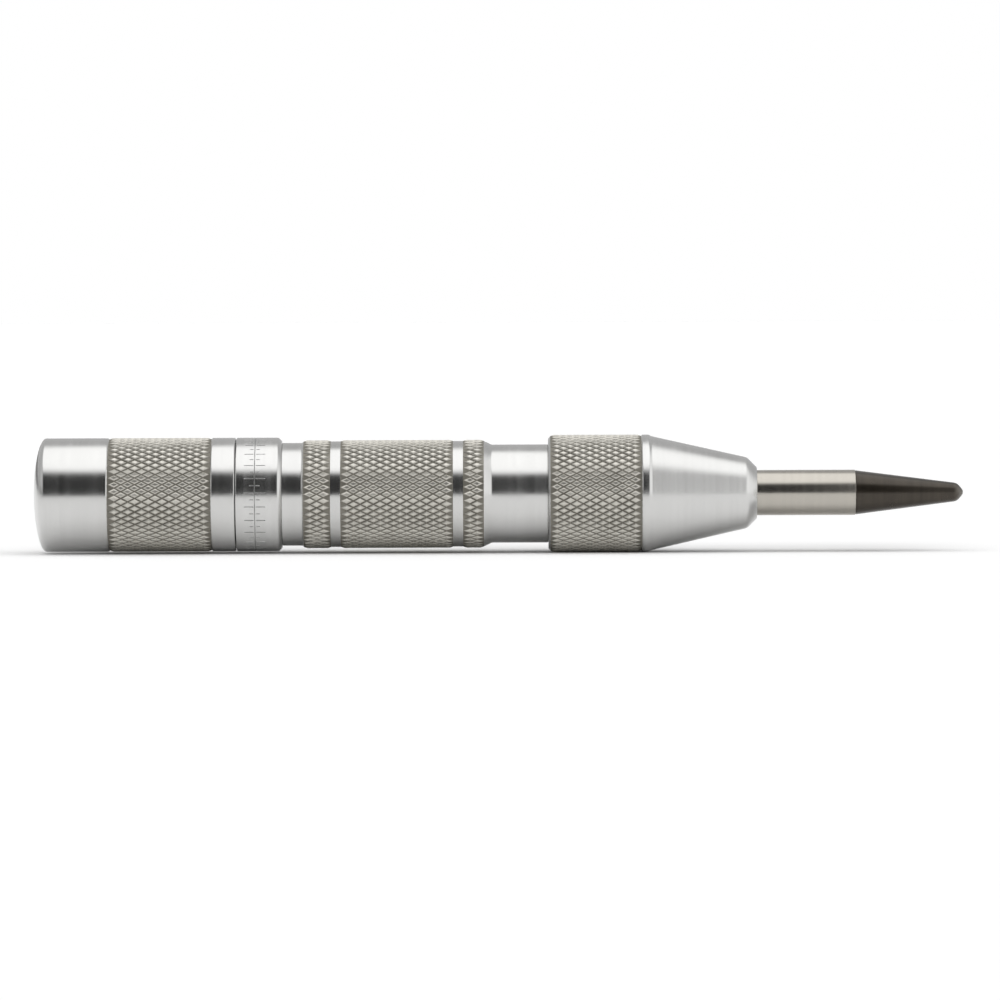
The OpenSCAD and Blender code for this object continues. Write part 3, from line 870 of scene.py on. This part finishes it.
class PUNCH_OT_springs(bpy.types.Operator):
    """Winds the main, return and trip springs"""

    bl_idname = "punch.springs"
    bl_label = "Springs"
    bl_options = {"REGISTER", "UNDO"}

    def execute(self, context):
        finishes = context.scene.punch_finishes
        steel = turned_metal("drawn_wire", tuple(finishes.wire), smooth=0.30, dull=0.42,
                             rings=1500.0, bump=0.10, contrast=0.2)

        # The main spring is wound in two halves, and the front one starts where the rear one ends
        rear, front = span("main_spring")
        wire, radius, coils = 1.2, 3.1, 11
        run = (front - rear - wire) / 2
        winding = {"axis": "X", "wire": wire, "length": run + wire, "coils": coils / 2, "material": steel}
        back = self.wind("main_spring_rear", spot(rear, 0), radius=radius, **winding)
        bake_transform(back)
        ahead = self.wind("main_spring_front", spot(rear + run, 0), radius=-radius, **winding)
        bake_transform(ahead)
        for half in (back, ahead):
            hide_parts("main_spring")

        rear, front = span("return_spring")
        light = self.wind("return_spring_wound", spot(rear, 0), axis="X", radius=4.25, wire=0.7,
                          length=front - rear, coils=8, material=steel)
        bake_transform(light)
        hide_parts("return_spring")

        low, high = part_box("trip_spring")
        foot = Vector(((low.x + high.x) / 2, 0, low.z))
        small = self.wind("trip_spring_wound", foot, axis="Z", radius=0.575, wire=0.25,
                          length=(high.z - low.z) / MM, coils=3, material=steel)
        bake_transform(small)
        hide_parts("trip_spring")
        return {"FINISHED"}

    @staticmethod
    def wind(name, foot, axis, radius, wire, length, coils, material):
        """Winds a round wire along X or Z with the Screw modifier and closes its ends."""
        wire_sides, steps_a_coil = 12, 24
        clear_selection()
        bpy.ops.mesh.primitive_circle_add(
            vertices=wire_sides, radius=wire / 2 * MM, location=foot, rotation=(math.pi / 2, 0, 0))
        spring = bpy.context.object
        spring.name = spring.data.name = name
        bpy.ops.object.transform_apply(location=False, rotation=True, scale=False)
        bpy.ops.object.mode_set(mode="EDIT")
        out = Vector((wire / 2, 0, radius)) if axis == "X" else Vector((radius, 0, wire / 2))
        bpy.ops.mesh.select_all(action="SELECT")
        bpy.ops.transform.translate(value=out * MM)
        bpy.ops.object.mode_set(mode="OBJECT")
        screw = spring.modifiers.new("Wind", "SCREW")
        screw.axis = axis
        screw.angle = TURN * coils
        screw.screw_offset = (length - wire) * MM
        screw.steps = screw.render_steps = round(coils * steps_a_coil)
        screw.use_merge_vertices = False
        bpy.ops.object.modifier_apply(modifier=screw.name)
        bpy.ops.object.transform_apply(location=True, rotation=False, scale=False)
        bpy.ops.object.mode_set(mode="EDIT")
        bpy.ops.mesh.select_all(action="SELECT")
        bpy.ops.mesh.remove_doubles(threshold=MERGE)
        bpy.ops.mesh.select_mode(type="EDGE")
        bpy.ops.mesh.select_all(action="DESELECT")
        bpy.ops.mesh.select_non_manifold()
        bpy.ops.mesh.edge_face_add()
        bpy.ops.mesh.select_all(action="SELECT")
        bpy.ops.mesh.normals_make_consistent(inside=False)
        spring.data.materials.append(material)
        smooth_piece(degrees=40)
        clear_selection()
        return spring


class PUNCH_OT_inner_pieces(bpy.types.Operator):
    """Gives the inner pieces their steel and bronze finishes"""

    bl_idname = "punch.inner_pieces"
    bl_label = "Inner pieces"
    bl_options = {"REGISTER", "UNDO"}

    def execute(self, context):
        finishes = context.scene.punch_finishes
        hard = turned_metal("hardened_steel", tuple(finishes.hard), smooth=0.26, dull=0.40,
                            rings=2600.0, bump=0.14, contrast=0.16)
        clip = turned_metal("clip_steel", tuple(finishes.wire), smooth=0.32, dull=0.45,
                            rings=1500.0, bump=0.10, contrast=0.2)
        bronze = turned_metal("bush_bronze", tuple(finishes.bronze), smooth=0.30, dull=0.44,
                              rings=3000.0, bump=0.16, contrast=0.18)
        for node in ("thrust_washer", "spring_seat", "hammer", "trip_slide", "cam_sleeve", "stop_ring",
                     "stem", "punch_holder", "holder_pin"):
            self.coat(node, hard)
        self.coat("retaining_ring", clip)
        self.coat("guide_bush", bronze)
        return {"FINISHED"}

    @staticmethod
    def coat(node, material):
        """Gives a CAD node a better material."""
        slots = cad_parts[node].material_slots
        if not slots:
            raise RuntimeError(f"{node} has no material slot")
        for slot in slots:
            slot.material = material


class PUNCH_OT_stage(bpy.types.Operator):
    """Lays the floor and sets the soft light and the camera"""

    bl_idname = "punch.stage"
    bl_label = "Stage"
    bl_options = {"REGISTER", "UNDO"}

    def execute(self, context):
        scene = context.scene
        scene.view_settings.view_transform = "Standard"
        self.lay_floor(tuple(scene.punch_finishes.floor))
        self.light(scene)
        self.set_camera(scene)
        return {"FINISHED"}

    @staticmethod
    def lay_floor(colour):
        """Lays a wide matt floor, lifted towards white where it is seen, but for a painted shadow under and
        behind the tool.
        """
        side, most_lift = 6, 0.20
        clear_selection()
        bpy.ops.mesh.primitive_plane_add(size=side)
        floor = bpy.context.object
        floor.name = "floor"
        material = bpy.data.materials.new("pale_floor")
        material.use_nodes = True
        tree = material.node_tree
        tree.nodes.clear()
        output = tree.nodes.new("ShaderNodeOutputMaterial")
        matt = add_node(tree, "ShaderNodeBsdfDiffuse", {"Color": (*colour, 1)})
        path = tree.nodes.new("ShaderNodeLightPath")
        seen = maths(tree, "MAXIMUM", path.outputs["Is Camera Ray"], path.outputs["Is Glossy Ray"])
        seen = maths(tree, "MAXIMUM", seen, path.outputs["Is Transmission Ray"])

        # The lift fades out over a fixed zone under and behind the tool, a painted shadow on the floor, over
        # these runs in metres
        past_ends, in_front, behind = (0.050, 0.075), (-0.007, -0.0005), (0.008, 0.040)
        place = tree.nodes.new("ShaderNodeTexCoord").outputs["Object"]
        along, aside, _ = add_node(tree, "ShaderNodeSeparateXYZ", {0: place}).outputs
        painted_shadow = product(
            tree, falling(tree, maths(tree, "ABSOLUTE", along), *past_ends),
            rising(tree, aside, *in_front), falling(tree, aside, *behind))
        lift = between(tree, painted_shadow, most_lift, 0.0)
        glow = add_node(tree, "ShaderNodeEmission", {"Strength": maths(tree, "MULTIPLY", seen, lift)})
        both = add_node(tree, "ShaderNodeAddShader", {0: matt.outputs[0], 1: glow.outputs[0]})
        tree.links.new(both.outputs[0], output.inputs["Surface"])
        floor.data.materials.append(material)
        clear_selection()

    @staticmethod
    def light(scene):
        """Lights the tool with a world of soft panels and dark cards, each named with its level."""
        world = bpy.data.worlds.new("studio")
        world.use_nodes = True
        scene.world = world
        tree = world.node_tree
        tree.nodes.clear()
        output = tree.nodes.new("ShaderNodeOutputWorld")
        way = tree.nodes.new("ShaderNodeTexCoord").outputs["Generated"]
        x, y, z = add_node(tree, "ShaderNodeSeparateXYZ", {0: way}).outputs

        # The room is bright on the right and greyer behind the tool
        room, bright, wall = 0.65, 1.2, 0.56
        level = blend_values(tree, rising(tree, x, low=0.46, high=0.75), room, bright)
        behind = rising(tree, y, low=0.05, high=0.55)
        level = blend_values(tree, behind, level, wall)

        # A tall dark card stands before the tool, and a low one at its left end
        card = 0.035
        before = product(
            tree,
            falling(tree, y, low=-0.40, high=-0.10),
            falling(tree, x, low=0.20, high=0.44),
            rising(tree, x, low=-0.62, high=-0.34))
        left = product(
            tree,
            falling(tree, x, low=-0.45, high=-0.20),
            falling(tree, y, low=0.80, high=0.97),
            falling(tree, z, low=0.05, high=0.18))
        level = blend_values(tree, maths(tree, "MAXIMUM", before, left), level, card)

        # The horizon behind the tool is white, but for a low dark card on the left
        horizon, low_card = 1.0, 0.09
        white = product(tree, behind, falling(tree, z, low=0.06, high=0.14))
        level = blend_values(tree, white, level, horizon)
        far_left = product(
            tree,
            falling(tree, x, low=-0.24, high=-0.10),
            rising(tree, y, low=0.2, high=0.5),
            falling(tree, z, low=0.03, high=0.10))
        level = blend_values(tree, far_left, level, low_card)

        # A wide soft light hangs overhead and leans towards the camera
        overhead, lean = 1.53, -0.11
        height = maths(tree, "MULTIPLY_ADD", y, lean, z)
        level = blend_values(tree, rising(tree, height, low=0.745, high=0.905), level, overhead)
        studio = add_node(tree, "ShaderNodeBackground", {"Color": (1, 1, 1, 1), "Strength": level})
        tree.links.new(studio.outputs[0], output.inputs["Surface"])

    @staticmethod
    def set_camera(scene):
        """Sets the camera far before the tool and a little above it, with the photograph's frame."""
        rise, roll = math.radians(2), math.radians(-0.2)
        distance, frame_width, sensor = 1.03, 0.1401, 36
        aim_along, aim_below = 0.00015, 0.0009
        data = bpy.data.cameras.new("photo_camera")
        data.sensor_width = sensor
        data.lens = sensor / 2 / (frame_width / 2 / distance)
        data.clip_start, data.clip_end = 0.01, 20
        camera = bpy.data.objects.new("photo_camera", data)
        scene.collection.objects.link(camera)
        back = Vector((0, -math.cos(rise), math.sin(rise)))
        up = Vector((0, math.sin(rise), math.cos(rise)))
        aim = Vector((aim_along, 0, AXIS_Z)) - up * aim_below
        camera.location = aim + back * distance
        level = (-back).to_track_quat("-Z", "Y").to_matrix().to_4x4()
        camera.rotation_euler = (level @ Matrix.Rotation(roll, 4, "Z")).to_euler()
        scene.camera = camera


class PUNCH_PT_pieces(bpy.types.Panel):
    """Lists the pieces, their sizes and their finishes"""

    bl_idname = "PUNCH_PT_pieces"
    bl_label = "Automatic center punch"
    bl_space_type = "VIEW_3D"
    bl_region_type = "UI"
    bl_category = "Center punch"

    def draw(self, context):
        column = self.layout.column()
        for operator in OPERATORS:
            column.operator(operator.bl_idname)
        for group in (context.scene.punch_sizes, context.scene.punch_finishes):
            for name in group.__annotations__:
                column.prop(group, name)


OPERATORS = (
    PUNCH_OT_stage, PUNCH_OT_adjusting_cap, PUNCH_OT_scale_ring, PUNCH_OT_barrel, PUNCH_OT_nose_piece,
    PUNCH_OT_shank_and_point, PUNCH_OT_springs, PUNCH_OT_inner_pieces)
CLASSES = (PunchSizes, PunchFinishes, *OPERATORS, PUNCH_PT_pieces)


def register():
    """Registers the classes and puts the sizes and finishes on the scene."""
    for kind in CLASSES:
        bpy.utils.register_class(kind)
    bpy.types.Scene.punch_sizes = bpy.props.PointerProperty(type=PunchSizes)
    bpy.types.Scene.punch_finishes = bpy.props.PointerProperty(type=PunchFinishes)


def unregister():
    """Takes all of that away again."""
    del bpy.types.Scene.punch_finishes
    del bpy.types.Scene.punch_sizes
    for kind in reversed(CLASSES):
        bpy.utils.unregister_class(kind)


def main():
    """Makes the stage and every piece."""
    register()
    bpy.ops.punch.stage()
    bpy.ops.punch.adjusting_cap()
    bpy.ops.punch.scale_ring()
    bpy.ops.punch.barrel()
    bpy.ops.punch.nose_piece()
    bpy.ops.punch.shank_and_point()
    bpy.ops.punch.springs()
    bpy.ops.punch.inner_pieces()


if __name__ == "__main__":
    main()
